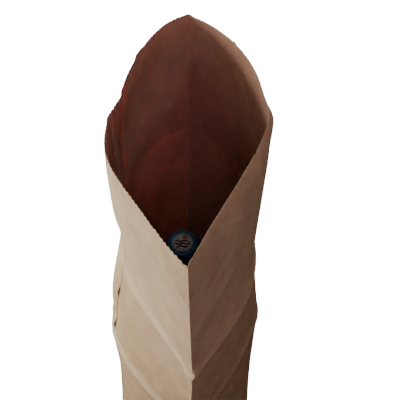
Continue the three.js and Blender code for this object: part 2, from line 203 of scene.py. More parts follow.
# %% Sections of the tube
SECTIONS = [
    # height, near crease, far crease, left bend, right bend,
    # flare, reach and round of the near left, near right, far left and far right wall
    (0, (0, -164), (0, 166), (-74, -4), (72, 0),
     (0.50, 0.46, 0.60, 0.58), (0.28, 0.28, 0.28, 0.28), (0.26, 0.26, 0.26, 0.26)),
    (120, (2, -153), (0, 156), (-71, -14.5), (72.5, -7),
     (0.18, 0.11, 0.25, 0.23), (0.28, 0.28, 0.28, 0.28), (0.26, 0.26, 0.26, 0.26)),
    (205, (5, -148), (1, 151), (-74, -14), (75, -9),
     (0.33, 0.38, 0.50, 0.47), (0.31, 0.22, 0.25, 0.25), (0.34, 0.21, 0.23, 0.23)),
    (262, (8, -151.5), (3, 152.5), (-69.5, -17), (70.5, -9),
     (0.18, 0.28, 0.58, 0.58), (0.27, 0.29, 0.26, 0.34), (0.22, 0.26, 0.24, 0.31)),
    (308, (9.5, -153), (3.5, 154.5), (-60, -11.5), (67.5, -15.5),
     (0.05, 0.25, 0.70, 0.62), (0.29, 0.36, 0.42, 0.42), (0.26, 0.37, 0.37, 0.37)),
    (332, (9, -152.5), (4, 153), (-58, -10), (68, -8),
     (0.13, 0.18, 0.74, 0.61), (0.26, 0.30, 0.40, 0.39), (0.19, 0.32, 0.34, 0.34)),
    (400, (8, -152), (5, 152.5), (-56, -8.5), (73.5, 0),
     (0.25, 0.09, 0.81, 0.58), (0.30, 0.30, 0.41, 0.35), (0.25, 0.29, 0.32, 0.31)),
    (438, (7.5, -152), (5.5, 152.5), (-56, -10), (75.5, 4),
     (0.38, 0.04, 0.80, 0.54), (0.28, 0.32, 0.32, 0.32), (0.28, 0.25, 0.24, 0.30)),
    (456, (7.5, -152), (5.5, 153), (-57.5, -7), (72.5, 9.5),
     (0.49, 0.00, 0.95, 0.55), (0.16, 0.43, 0.28, 0.37), (0.25, 0.21, 0.17, 0.34)),
]
SECTION_HEIGHTS = np.array([section[0] for section in SECTIONS], float)
SECTION_VALUES = np.array([np.hstack(section[1:]) for section in SECTIONS], float)
NEAR, FAR, LEFT, RIGHT = slice(0, 2), slice(2, 4), slice(4, 6), slice(6, 8)
FLARE, REACH, ROUND = 8, 12, 16         # where each list of four walls starts

BASE_LEFT, BASE_RIGHT, BASE_HALF_LENGTH = -75, 72, 98
BASE_MIDDLE = (BASE_LEFT + BASE_RIGHT) / 2
CORNERS_FADE_AT = 205                   # mm up, where the bottom's square corners have gone
CORNER_FADE = 1.7


def section_at(height):
    """The section's values at a height, on a smooth curve through the given ones."""
    last = len(SECTION_HEIGHTS) - 1
    low = int(np.clip(np.searchsorted(SECTION_HEIGHTS, height) - 1, 0, last - 1))

    def slope(k):
        under, over = max(k - 1, 0), min(k + 1, last)
        rise = SECTION_VALUES[over] - SECTION_VALUES[under]
        return rise / (SECTION_HEIGHTS[over] - SECTION_HEIGHTS[under])

    span = SECTION_HEIGHTS[low + 1] - SECTION_HEIGHTS[low]
    t = (height - SECTION_HEIGHTS[low]) / span
    return ((2 * t**3 - 3 * t**2 + 1) * SECTION_VALUES[low]
            + (t**3 - 2 * t**2 + t) * span * slope(low)
            + (3 * t**2 - 2 * t**3) * SECTION_VALUES[low + 1]
            + (t**3 - t**2) * span * slope(low + 1))


def wall_curve(crease, bend, flare, reach, turn, steps=64):
    """One wall from its crease to its bend, straight at the crease and round at the bend."""
    line = bend - crease
    length = np.hypot(*line)
    along = line / length
    outward = np.array([np.sign(line[0]), 0.0])
    outward -= along * (outward @ along)
    outward /= np.hypot(*outward)
    heading = along * math.cos(flare) + outward * math.sin(flare)
    start = crease + heading * reach * length
    end = bend - np.array([0, np.sign(line[1])]) * turn * length
    t = np.linspace(0, 1, steps)[:, None]
    return ((1 - t)**3 * crease + 3 * (1 - t)**2 * t * start
            + 3 * (1 - t) * t**2 * end + t**3 * bend)


def along(points, shares):
    """Points at these shares of a line's length."""
    lengths = np.append(0, np.cumsum(np.hypot(*np.diff(points, axis=0).T)))
    wanted = shares * lengths[-1]
    return np.stack([np.interp(wanted, lengths, points[:, k]) for k in (0, 1)], 1)


def face_section(face, shares, height):
    """Plan points of one face at a height, before any relief, in millimetres."""
    values = section_at(height)
    bend = values[LEFT] if face == "left" else values[RIGHT]
    walls = []
    for crease, wall in ((values[NEAR], 0), (values[FAR], 2)):
        wall += 0 if face == "left" else 1
        shape = values[FLARE + wall], values[REACH + wall], values[ROUND + wall]
        walls.append(wall_curve(crease, bend, *shape))
    opened = along(np.vstack([walls[0], walls[1][-2::-1]]), shares)
    edge = BASE_LEFT if face == "left" else BASE_RIGHT
    rectangle = np.array([(BASE_MIDDLE, -BASE_HALF_LENGTH), (edge, -BASE_HALF_LENGTH),
                          (edge, BASE_HALF_LENGTH), (BASE_MIDDLE, BASE_HALF_LENGTH)], float)
    squared = max(0.0, 1 - height / CORNERS_FADE_AT) ** CORNER_FADE
    return opened * (1 - squared) + along(rectangle, shares) * squared


for check_height in (120, 308, 456):
    widths = []
    for face in ("left", "right"):
        line = face_section(face, np.linspace(0, 1, 200), check_height)
        widths.append(round(float(np.hypot(*np.diff(line, axis=0).T).sum())))
    print("faces at", check_height, "mm are", widths, "mm wide")

# %% [markdown]
# ## Relief of the paper
#
# Paper that was folded flat keeps a soft ridge along each fold, and it buckles a little between
# them. On the left face a narrow dent runs under each fold, and the near end of the upper fold
# is pinched out. A cloth simulation would round everything off, so the relief is written down:
# each fold or buckle is a line on the face with a width and a height. Positions on a face are
# millimetres from the near crease and millimetres above the floor, as on the flat tube.

# %% Relief
FACE_WIDTH = 342
FOLD_HEIGHTS = (308, 211)
FOLD_RIDGE = 1.8
FOLD_OVER = 9                           # mm that a fold's facet reaches above its ridge
FOLD_UNDER = 20                         # and below it
FOLD_TICK = 2.0                         # mm more, at the near end of the upper fold
FOLD_PINCH = 2.3                        # mm that the same end is pinched out to the right
PINCH_ABOVE = 4                         # mm above the fold
PINCH_ACROSS, PINCH_UP = 4, 2.5         # its half widths
FOLD_FAR_SHARE = 0.15                   # flat past the bends, and faint at the far crease
LAP_OUTER_EDGE = 10.5 / 28
LAP_INNER_EDGE = 16 / 28
# Near the mouth the left face bulges, and the right face has a small collar at its bend.
LEFT_LOBE = 7.1
LEFT_LOBE_AT = 0.37
LEFT_LOBE_WIDTH = 0.13
LEFT_LOBE_DEPTH = 125
RIGHT_COLLAR = 3
RIGHT_COLLAR_AT = 0.52
RIGHT_COLLAR_WIDTH = 0.06
RIGHT_COLLAR_DEPTH = 9

# Each buckle: its face, where it starts and ends, its half width, and how far it stands out.
BUCKLES = [
    ("left", (30, 426), (2, 402), 4.0, 0.7),        # soft folds beside the near crease
    ("left", (84, 424), (54, 435), 4.0, -0.8),
    ("left", (98, 420), (82, 410), 8.0, 1.1),
    ("left", (118, 366), (96, 330), 7.0, -0.6),
    ("left", (108, 230), (30, 220), 3.2, 0.8),      # a second line just above the lower fold
    ("left", (134, 240), (152, 216), 14.0, -2.6),   # the lap sits in a hollow here
    ("left", (82, 208.5), (38, 207.5), 1.7, -1.0),  # sharp dents under the folds
    ("left", (108, 305.6), (6, 305.6), 1.3, -0.35),
    ("left", (60, 262), (20, 236), 6.0, -0.5),
    ("left", (208, 456), (212, 330), 4.5, 0.9),     # a fold beside the lap, seen inside
    ("left", (175, 456), (180, 414), 9.0, 2.3),
    ("left", (203, 456), (205, 424), 9.0, -2.0),
    ("left", (160, 392), (165, 322), 30.0, -1.2),
    ("left", (270, 456), (266, 438), 3.0, 0.9),
    ("left", (262, 456), (260, 446), 6.0, 1.5),
    ("left", (300, 308), (342, 308), 4.5, 0.5),     # the upper fold's last stretch, seen inside
    ("right", (184, 450), (180, 438), 7.0, 1.6),    # the corner of the collar
    ("right", (8, 389), (62, 402), 6.0, -0.9),      # soft waves down the right face
    ("right", (10, 364), (74, 374), 6.5, 0.9),
    ("right", (18, 338), (96, 350), 7.0, -0.7),
    ("right", (60, 440), (110, 408), 8.0, 0.6),
    ("right", (14, 262), (78, 240), 7.0, -0.5),
    ("right", (316, 445), (264, 430), 6.0, 1.0),    # seen inside, near the mouth
    ("right", (264, 430), (238, 400), 6.0, 1.0),
    ("right", (333, 452), (334, 410), 4.0, -0.35),
    ("right", (300, 308), (342, 308), 4.5, 0.5),
    ("right", (280, 456), (278, 440), 3.0, 0.9),
]
COCKLE = 0.30                           # mm, the slow unevenness of all paper
NOISE_CELLS, NOISE_MIDDLE = 160, 40


def hump(distance, width):
    return np.exp(-(distance / width) ** 2)


def ease(start, end, value):
    t = np.clip((value - start) / (end - start), 0, 1)
    return t * t * (3 - 2 * t)


def soft_noise(across, up, cell_across, cell_up, seed):
    """Smooth random waves between -1 and 1, with one value to a cell."""
    rng = np.random.default_rng(seed)
    grid = rng.uniform(-1, 1, (NOISE_CELLS, NOISE_CELLS))
    x = across / cell_across + NOISE_MIDDLE
    y = up / cell_up + NOISE_MIDDLE
    i, j = np.floor(x).astype(int), np.floor(y).astype(int)
    u, v = x - i, y - j
    u, v = u * u * u * (u * (6 * u - 15) + 10), v * v * v * (v * (6 * v - 15) + 10)
    low = grid[i, j] * (1 - u) + grid[i + 1, j] * u
    high = grid[i, j + 1] * (1 - u) + grid[i + 1, j + 1] * u
    return low * (1 - v) + high * v


def from_line(across, up, start, end):
    """Distance to a line on the paper, and 1 along it that fades out past its ends."""
    start, line = np.array(start, float), np.array(end, float) - np.array(start, float)
    length = np.hypot(*line)
    t = ((across - start[0]) * line[0] + (up - start[1]) * line[1]) / length**2
    aside = ((across - start[0]) * line[1] - (up - start[1]) * line[0]) / length
    past = np.maximum(np.maximum(-t, t - 1), 0) * length
    return aside, hump(past, 10)


def relief(face, share, height):
    """How far the paper stands out of its plain section, in millimetres."""
    out = np.zeros_like(share)
    across = share * FACE_WIDTH
    up = height + np.zeros_like(share)
    from_crease = np.minimum(share, 1 - share)
    for fold in FOLD_HEIGHTS:
        tick = FOLD_TICK * hump(from_crease, 0.03) * (share < 0.5) * (fold == FOLD_HEIGHTS[0])
        held = 1 - ease(0.42, 0.55, share) + FOLD_FAR_SHARE * ease(0.72, 0.9, share)
        ridge = FOLD_RIDGE * held
        over = np.clip(1 - (up - fold) / FOLD_OVER, 0, 1) ** 1.3
        under = np.clip(1 + (up - fold) / FOLD_UNDER, 0, 1) ** 2
        out += (ridge + tick) * np.minimum(over, under)
    below_rim = SACK_HEIGHT - up
    if face == "left":
        fade = 1 - ease(0.5, 1, below_rim / LEFT_LOBE_DEPTH)
        out += LEFT_LOBE * hump(share - LEFT_LOBE_AT, LEFT_LOBE_WIDTH) * fade
    else:
        swell = hump(below_rim - RIGHT_COLLAR_DEPTH, RIGHT_COLLAR_DEPTH)
        out += RIGHT_COLLAR * hump(share - RIGHT_COLLAR_AT, RIGHT_COLLAR_WIDTH) * swell
    for side, start, end, width, rise in BUCKLES:
        if side == face:
            aside, held = from_line(across, up, start, end)
            out += rise * hump(aside, width) * held
    free = ease(0, 25, up) * ease(0, 0.03, from_crease)
    waves = soft_noise(across, up, 34, 52, 11) + 0.4 * soft_noise(across, up, 13, 21, 12)
    seed_shift = 0 if face == "left" else 400
    waves += 0.5 * soft_noise(across + seed_shift, up, 60, 80, 13)
    return out + COCKLE * waves * free


def wear_and_painted_light_at(face, share, height):
    """Worn pale on folds and rim, with a painted highlight over the folds; below 0, painted dent
    shade.
    """
    across = share * FACE_WIDTH
    up = height + np.zeros_like(share)
    wear_and_painted_light = np.zeros_like(share)
    # Each fold's pale band is partly worn fibre and partly a painted highlight on the facet that
    # tilts up to the light, so it is much stronger on the lit left face.
    for fold in FOLD_HEIGHTS:
        facet = FOLD_OVER * (0.5 + 0.6 * ease(2, 50, across))
        band = ease(-1.0, 0.4, up - fold) * (1 - ease(facet - 1.2, facet + 0.8, up - fold))
        band_unevenness = 0.7 + 0.3 * soft_noise(across, up, 11, 6, 17)
        strength = 0.95 if face == "left" else 0.2
        wear_and_painted_light = np.maximum(wear_and_painted_light, strength * band * band_unevenness * (1 - 0.9 * ease(0.36, 0.5, share)))
    wear_and_painted_light = np.maximum(wear_and_painted_light, 0.35 * hump(np.minimum(share, 1 - share) * FACE_WIDTH, 1.2))
    wear_and_painted_light = np.maximum(wear_and_painted_light, 0.8 * hump(SACK_HEIGHT - up, 1.5))
    # Painted shade: narrow dents are given a dark line in the colour, as values below 0.
    painted_dent_shade = np.zeros_like(share)
    for side, start, end, width, rise in BUCKLES:
        if side == face:
            aside, held = from_line(across, up, start, end)
            if rise > 0:
                wear_and_painted_light = np.maximum(wear_and_painted_light, 0.25 * hump(aside, width * 0.45) * held)
            elif width < 2:
                painted_dent_shade -= 0.8 * rise * hump(aside, width * 0.8) * held
    return wear_and_painted_light - painted_dent_shade


print(len(BUCKLES), "buckles besides the two storage folds")

# %% [markdown]
# ## The sack's sheet
#
# The sheet is a thin closed shell: an outer and an inner surface with the paper's edge between
# them at the mouth. Columns follow the teeth, four to a tooth, so that each tooth has a true
# point and a true root. Rows sit closer together at the folds. A subdivided plane with a
# modifier would be shorter, but it would lose the teeth and the sharp long creases.

# %% Grid of the sheet
TEETH_PER_FACE = 70
TOOTH_DEPTH = 2.4
TOOTH_RIGHT_SHARE = 0.4                 # of that depth, on the near right wall
TOOTH_FAR_SHARE = 0.25                  # and on the far walls
RIGHT_RIM_DROP = 1.0                    # where the teeth are bent flat, the rim is lower
FAR_RIM_DROP = 0.6
STEPS_PER_TOOTH = 4
PAPER = 0.35                            # mm, where real kraft has about 0.12
# Small tears, dips and bent-up places of the rim: face, place, half width, depth.
RIM_DIPS = [("right", 130, 2.6, 2.4), ("left", 3.0, 4.0, 2.0), ("right", 0.0, 2.2, 1.6),
            ("right", 4.6, 1.2, -1.8), ("left", 342, 5.0, -0.7), ("right", 342, 5.0, -0.7)]


def row_heights():
    rows = list(np.arange(0, SACK_HEIGHT - 6, 3.0))
    for fold in FOLD_HEIGHTS:
        rows += list(np.arange(fold - 10, fold + 10, 1.25))
    rows = np.unique(np.round(np.array(rows), 2))
    keep = np.append(True, np.diff(rows) > 0.6)
    return rows[keep]


HEIGHTS = row_heights()
RIM_ROWS = (0.25, 0.5, 0.75, 1.0)
FACE_STEPS = TEETH_PER_FACE * STEPS_PER_TOOTH
SHARES = np.arange(FACE_STEPS) / FACE_STEPS


def rim_height(face, share):
    """Height of the toothed rim, with teeth that aren't all cut alike."""
    index = np.round(share * FACE_STEPS).astype(int)
    phase = (index % STEPS_PER_TOOTH) / STEPS_PER_TOOTH
    point = 1 - 2 * np.abs(phase - 0.5)                     # 0 at a root, 1 at a tip
    rng = np.random.default_rng(5 if face == "left" else 6)
    length = 1 - 0.3 * rng.random(TEETH_PER_FACE + 1)[index // STEPS_PER_TOOTH]
    far = ease(0.45, 0.6, share)
    right = 0 if face == "left" else ease(0, 0.03, share)
    near = 1 - (1 - TOOTH_RIGHT_SHARE) * right
    depth = TOOTH_DEPTH * (near * (1 - far) + TOOTH_FAR_SHARE * far)
    drop = RIGHT_RIM_DROP * right * (1 - far) + FAR_RIM_DROP * far
    height = SACK_HEIGHT - drop - depth * (1 - point * length)
    for side, place, width, depth in RIM_DIPS:
        if side == face:
            height -= depth * hump(share * FACE_WIDTH - place, width)
    return height


def outward_normals(ring):
    edge = np.roll(ring, -1, axis=0) - ring
    edge /= np.hypot(*edge.T)[:, None]
    after = np.stack([-edge[:, 1], edge[:, 0]], 1)
    before = np.roll(after, 1, axis=0)
    total = before + after
    mitre = total / (1 + np.maximum((before * after).sum(1), -0.5))[:, None]
    return total / np.hypot(*total.T)[:, None], mitre


def sheet_ring(height, offset):
    """One level ring of the sheet, from the near crease up the left face and back."""
    ring = np.vstack([face_section("left", SHARES, height),
                      face_section("right", 1 - SHARES, height)])
    normals, mitre = outward_normals(ring)
    out = np.hstack([relief("left", SHARES, height), relief("right", 1 - SHARES, height)])
    shares = np.hstack([SHARES, 1 - SHARES])
    above = height - FOLD_HEIGHTS[0] - PINCH_ABOVE
    pinch = FOLD_PINCH * hump(shares * FACE_WIDTH, PINCH_ACROSS) * hump(above, PINCH_UP)
    return ring + normals * out[:, None] + mitre * offset + pinch[:, None] * [1, 0]


def sheet_surface(offset):
    """All rings of one surface, with the toothed rim on top."""
    top = np.hstack([rim_height("left", SHARES), rim_height("right", 1 - SHARES)])
    rings = []
    for height in HEIGHTS:
        rings.append(np.column_stack([sheet_ring(height, offset), np.full(len(top), height)]))
    for up in RIM_ROWS:
        level = HEIGHTS[-1] + (SACK_HEIGHT - HEIGHTS[-1]) * up
        heights = HEIGHTS[-1] + (top - HEIGHTS[-1]) * up
        rings.append(np.column_stack([sheet_ring(level, offset), heights]))
    return np.array(rings)


def strip_surface(face, shares, offsets):
    """Rows of points that follow a face at these shares, set off from it by offsets(height)."""
    delta = 0.002
    rows = []
    top = rim_height(face, shares)
    levels = [(height, np.full(len(shares), height)) for height in HEIGHTS]
    for up in RIM_ROWS:
        level = HEIGHTS[-1] + (SACK_HEIGHT - HEIGHTS[-1]) * up
        levels.append((level, HEIGHTS[-1] + (top - HEIGHTS[-1]) * up))
    for level, heights in levels:
        here = face_section(face, shares, level)
        ahead = face_section(face, shares + delta, level) - face_section(face, shares - delta, level)
        ahead /= np.hypot(*ahead.T)[:, None]
        turned = 1 if face == "left" else -1
        outward = turned * np.stack([-ahead[:, 1], ahead[:, 0]], 1)
        out = relief(face, shares, level) + offsets(level)
        rows.append(np.column_stack([here + outward * out[:, None], heights]))
    return np.array(rows)


print(len(HEIGHTS) + len(RIM_ROWS), "rows of", 2 * FACE_STEPS, "columns")

# %% [markdown]
# ## Meshes from rows of points
#
# Every sheet here is two surfaces and the edges between them, so one function makes them all.
# Each point also keeps its place on the flat paper, and how worn it is or how much painted
# highlight or shade it gets, as mesh attributes: the finish then runs its fibres along the
# paper, whatever way the paper bends.

# %% Shells
def mesh_object(name, points, faces, materials, smooth=True, sharp_angle=35):
    """A mesh from points in millimetres."""
    mesh = bpy.data.meshes.new(name)
    mesh.from_pydata((np.asarray(points) * MM).tolist(), [], faces)
    mesh.update()
    if smooth:
        mesh.shade_smooth()
        mesh.set_sharp_from_angle(angle=math.radians(sharp_angle))
    for material in materials:
        mesh.materials.append(material)
    new = bpy.data.objects.new(name, mesh)
    bpy.context.scene.collection.objects.link(new)
    return new


def keep_values(piece, name, values):
    """Stores one number or one vector for each point."""
    values = np.asarray(values, np.float32)
    kind, field = ("FLOAT", "value") if values.ndim == 1 else ("FLOAT_VECTOR", "vector")
    layer = piece.data.attributes.new(name, kind, "POINT")
    layer.data.foreach_set(field, values.ravel())


def row_faces(rows, columns, first, closed, flip):
    r, c = np.meshgrid(np.arange(rows - 1), np.arange(columns if closed else columns - 1),
                       indexing="ij")
    after = (c + 1) % columns
    corners = [r * columns + c, (r + 1) * columns + c, (r + 1) * columns + after,
               r * columns + after]
    quads = np.stack(corners, -1).reshape(-1, 4) + first
    return (quads[:, ::-1] if flip else quads).tolist()


def shell(name, outer, inner, materials, closed=False):
    """A closed sheet from two grids of points. The inner side gets the last material."""
    rows, columns = outer.shape[:2]
    inside = rows * columns
    points = np.vstack([outer.reshape(-1, 3), inner.reshape(-1, 3)])
    front = row_faces(rows, columns, 0, closed, False)
    back = row_faces(rows, columns, inside, closed, True)
    border = []
    last = (rows - 1) * columns
    for c in range(columns if closed else columns - 1):
        d = (c + 1) % columns
        border.append((last + c, inside + last + c, inside + last + d, last + d))
        border.append((inside + c, c, d, inside + d))
    if not closed:
        for r in range(rows - 1):
            low, high = r * columns, (r + 1) * columns
            border.append((low, inside + low, inside + high, high))
            end = columns - 1
            border.append((inside + low + end, low + end, high + end, inside + high + end))
    piece = mesh_object(name, points, front + back + border, materials)
    if len(materials) > 1:
        index = np.zeros(len(front) + len(back) + len(border), np.int32)
        index[len(front):len(front) + len(back)] = 1
        piece.data.polygons.foreach_set("material_index", index)
    return piece


def keep_paper_place(piece, faces, shares, rows):
    """Stores where each point was on the flat paper, for both sides of a shell."""
    places, wear_and_painted_light = [], []
    for height in rows:
        for face, share in zip(faces, shares):
            sign = -1 if face == "left" else 1
            flat = np.column_stack([sign * share * FACE_WIDTH, np.full(len(share), height),
                                    np.zeros(len(share))])
            places.append(flat)
            wear_and_painted_light.append(wear_and_painted_light_at(face, share, height))
    places, wear_and_painted_light = np.vstack(places), np.hstack(wear_and_painted_light)
    keep_values(piece, "paper", np.vstack([places, places + [0, 0, 500]]))
    keep_values(piece, "wear_and_painted_light", np.hstack([wear_and_painted_light, wear_and_painted_light]))


ALL_ROWS = list(HEIGHTS) + [HEIGHTS[-1] + (SACK_HEIGHT - HEIGHTS[-1]) * up for up in RIM_ROWS]
print("every point keeps its place in", len(ALL_ROWS), "rows of flat paper")

# %% [markdown]
# ## Kraft paper
#
# Brown kraft is unbleached fibre. It is cloudy at the scale of centimetres, streaked along the
# way it ran through the machine, and flecked with single darker and paler fibres. It is matt,
# and its folds wear pale. An image would show the same patch again and again, so all of this is
# noise on the flat paper's own millimetres. Inside, light bounces from paper to paper and also
# comes through it, which only reddens it further, so the inner side is given a redder base:
# painted colour for that light. Both sides are painted darker and browner towards the bottom, as
# shade for the light falling off lower down. At the left bend the inner side is painted lighter
# in soft upright ribs, for the window shining through the paper. The mesh's number for wear and
# painted light says where the paper is worn pale and where a painted highlight lies on the lit
# fold facets. It goes below 0 where a narrow dent is painted dark as shade.

# %% Kraft finish
def kraft_finish(name, deep, plain, pale, pale_wear_and_highlight_colour, pale_wear_and_highlight_share, roughness, grain, glow=0):
    finish = Finish(name, Specular_IOR_Level=0.25, Subsurface_Weight=0.85,
                    Subsurface_Radius=(1.0, 0.78, 0.68), Subsurface_Scale=0.0008)
    place = finish.attribute("paper")
    wear_and_painted_light = finish.attribute("wear_and_painted_light", "Fac")
    clouds = finish.noise(place, 0.035, 5.0, 0.6).between(0.30, 0.70)
    streaks = finish.noise(finish.stretch(place, (0.9, 0.05, 1.0)), 1.0, 3.0, 0.6)
    fibres = finish.noise(finish.stretch(place, (1.6, 0.35, 1.0)), 1.0, 2.0, 0.5)
    specks = finish.noise(place, 0.75, 2.0, 0.5).between(0.66, 0.74)
    colour = finish.blend(clouds * 0.75 + streaks.between(0.3, 0.7) * 0.25, deep, plain)
    colour = finish.blend(fibres.between(0.52, 0.72) * 0.45, colour, pale)
    colour = finish.blend(specks * 0.35, colour, deep)
    yellowed = finish.noise(place, 0.011, 2.0, 0.5).between(0.38, 0.62)
    colour = finish.blend(yellowed * 0.8, colour, (0.985, 1.0, 0.93, 1), "MULTIPLY")
    height_up = finish.part(place, 1)
    # Painted shade: darker and browner towards the bottom, for the light falling off lower down.
    painted_low_shade = (1 - height_up.between(90.0, 400.0)) * 0.9
    colour = finish.blend(painted_low_shade, colour, (0.82, 0.74, 0.64, 1), "MULTIPLY")
    # Painted light: at the left bend the inner side is made lighter, in soft upright ribs, for the
    # window shining through the paper.
    if glow:
        across = finish.part(place, 0)
        at_bend = across.between(-236.0, -204.0) * (1 - across.between(-150.0, -120.0))
        ribbed = finish.noise(finish.stretch(place, (0.22, 0.006, 1.0)), 1.0, 2.0, 0.5)
        lit_through = at_bend * height_up.between(230.0, 330.0) * glow
        colour = finish.blend(lit_through, colour, (1.5, 0.96, 0.92, 1), "MULTIPLY")
        colour = finish.blend(lit_through * ribbed.between(0.46, 0.54), colour,
                              (0.70, 0.62, 0.66, 1), "MULTIPLY")
    # Pale where the paper is worn, and a painted highlight on the lit fold facets.
    colour = finish.blend(wear_and_painted_light * pale_wear_and_highlight_share, colour, pale_wear_and_highlight_colour)
    # Painted shade: below 0 the colour goes dark brown along a narrow dent.
    colour = finish.blend(wear_and_painted_light * -1.0, colour, (0.16, 0.085, 0.045, 1))
    height = fibres * 0.5 + streaks * 0.35 + finish.noise(place, 2.2, 3.0, 0.6) * 0.4
    height = height + finish.noise(place, 0.22, 3.0, 0.55) * grain
    finish.set(Base_Color=colour, Roughness=roughness + clouds * 0.08 + wear_and_painted_light * 0.06,
               Normal=finish.bump(height, 0.00012, 0.55))
    return finish.material


kraft_outside = kraft_finish(
    "kraft_outside", (0.42, 0.280, 0.178, 1), (0.53, 0.362, 0.234, 1),
    (0.62, 0.440, 0.30, 1), (0.74, 0.57, 0.39, 1), 0.55, 0.80, 1.5)
# The inner side's redder, slightly darker base is painted colour for light bounced inside and
# shining through the paper.
kraft_inside = kraft_finish(
    "kraft_inside", (0.40, 0.219, 0.159, 1), (0.495, 0.270, 0.201, 1),
    (0.57, 0.347, 0.265, 1), (0.63, 0.41, 0.32, 1), 0.45, 0.86, 4.0, 1.0)
print("kraft finishes made")

# %% [markdown]
# ## The tube itself
#
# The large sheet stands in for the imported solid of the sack.

# %% The paper tube
sack_paper = shell("sack_paper", sheet_surface(0.0), sheet_surface(-PAPER),
                   [kraft_outside, kraft_inside], closed=True)
keep_paper_place(sack_paper, ("left", "right"), (SHARES, 1 - SHARES), ALL_ROWS)
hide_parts("sack")
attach(sack_paper, "root")
print("the tube has", len(sack_paper.data.vertices), "points")

# %% [markdown]
# ## The glued lap
#
# The tube was closed by pasting one edge of the sheet over the other. Outside, that leaves a
# free edge towards the near crease. It has come loose in two short places below the upper fold,
# and stands off a little between them. Inside, the other edge ends about 7 centimetres further.
# A groove painted on the tube would look flat where it gapes, so each doubled part is a strip of
# its own, a hair off the tube.

# %% Lap strips
LAP_PAPER = 0.25
LAP_GAP = 0.08                          # mm that a strip stands off the tube
LAP_DIVE = 0.30                         # mm that its far end goes into the tube
DIVE_FROM = 0.72                        # share of the strip where it starts to go in
LAP_RUN_ON = 0.07                       # share of the face that a strip runs past the lap
LOOSE_PLACES = [(279, 5.0, 1.7), (229, 5.2, 2.0), (258, 5.0, 0.30)]  # height, half length, lift
LOOSE_DEPTH = 9.0                       # mm that a loose place reaches in from the edge
SEAM_LIFT = 0.10                        # the edge stands off a little between the two folds
SEAM_HEIGHT, SEAM_HALF, SEAM_DEPTH = 256, 40, 6
INNER_LIFT, INNER_WAVE = 0.15, 17       # the inner edge rises and falls slowly


def strip_shares(start, end):
    """Shares at whole steps of the teeth, from start to end."""
    steps = np.arange(math.ceil(start * FACE_STEPS), math.floor(end * FACE_STEPS) + 1)
    return steps / FACE_STEPS


def lap_strip(name, shares, free_edge, end, side):
    """side is 1 outside and -1 inside. The strip dives under the tube's surface at its end."""
    inward = np.abs(shares - free_edge) * FACE_WIDTH
    along_strip = np.abs((shares - free_edge) / (end - free_edge))
    dive = ease(DIVE_FROM, 1.0, along_strip)

    def lift(height):
        raised = np.zeros_like(shares)
        if side > 0:
            for place, half, rise in LOOSE_PLACES:
                raised += rise * hump(height - place, half) * (1 - ease(0, LOOSE_DEPTH, inward))
            off = SEAM_LIFT * hump(height - SEAM_HEIGHT, SEAM_HALF)
            raised += off * (1 - ease(0, SEAM_DEPTH, inward))
        else:
            off = INNER_LIFT * (1 - ease(0, SEAM_DEPTH, inward))
            raised += off * (0.5 + 0.5 * math.sin(height / INNER_WAVE))
        return raised * (1 - dive)

    skin = 0 if side > 0 else -PAPER
    rest = LAP_GAP * (1 - dive) - LAP_DIVE * dive

    def near_side(height):
        return skin + side * (rest + lift(height))

    def far_side(height):
        return skin + side * (rest + LAP_PAPER + lift(height))

    outer, inner = (far_side, near_side) if side > 0 else (near_side, far_side)
    strip = shell(name, strip_surface("left", shares, outer),
                  strip_surface("left", shares, inner), [kraft_outside, kraft_inside])
    keep_paper_place(strip, ("left",), (shares,), ALL_ROWS)
    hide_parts("sack")
    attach(strip, "root")
    return strip


OUTER_END = LAP_INNER_EDGE + LAP_RUN_ON
INNER_END = LAP_OUTER_EDGE - LAP_RUN_ON
lap_outer = lap_strip("lap_outer", strip_shares(LAP_OUTER_EDGE, OUTER_END),
                      LAP_OUTER_EDGE, OUTER_END, 1)
lap_inner = lap_strip("lap_inner", strip_shares(INNER_END, LAP_INNER_EDGE),
                      LAP_INNER_EDGE, INNER_END, -1)
print("lap strips of", lap_outer.data.name, "and", lap_inner.data.name, "made")

# %% [markdown]
# ## The pasted bottom
#
# A block bottom is folded from the tube: both ends are turned in, then the right flap and last
# the left flap are pasted over them. Each layer is cut as a flat outline, filled with uneven
# triangles so that it can cockle, and given its thickness. Inside, one sheet shows as floor.

# %% Bottom layers
LAYER_PAPER = 0.35
OUTER_LOW, INNER_LOW, END_LOW, FLOOR_LOW = 0.02, 0.45, 0.90, 1.35   # mm up, each underside
FLOOR_COCKLE = 0.6
GRID_X, GRID_Y = 78, 102                # mm, half the area that points are spread over
JITTER = 1.2                            # mm that a point is moved off its grid
CLEAR_OF_BORDER = 0.45                  # of the spacing


def inside_outline(x, y, outline):
    """True for points inside a closed outline."""
    hit = np.zeros(len(x), bool)
    for (x0, y0), (x1, y1) in zip(outline, np.roll(outline, -1, axis=0)):
        crosses = (y0 > y) != (y1 > y)
        at = x0 + (y - y0) * (x1 - x0) / (y1 - y0 if y1 != y0 else 1e-9)
        hit ^= crosses & (x < at)
    return hit


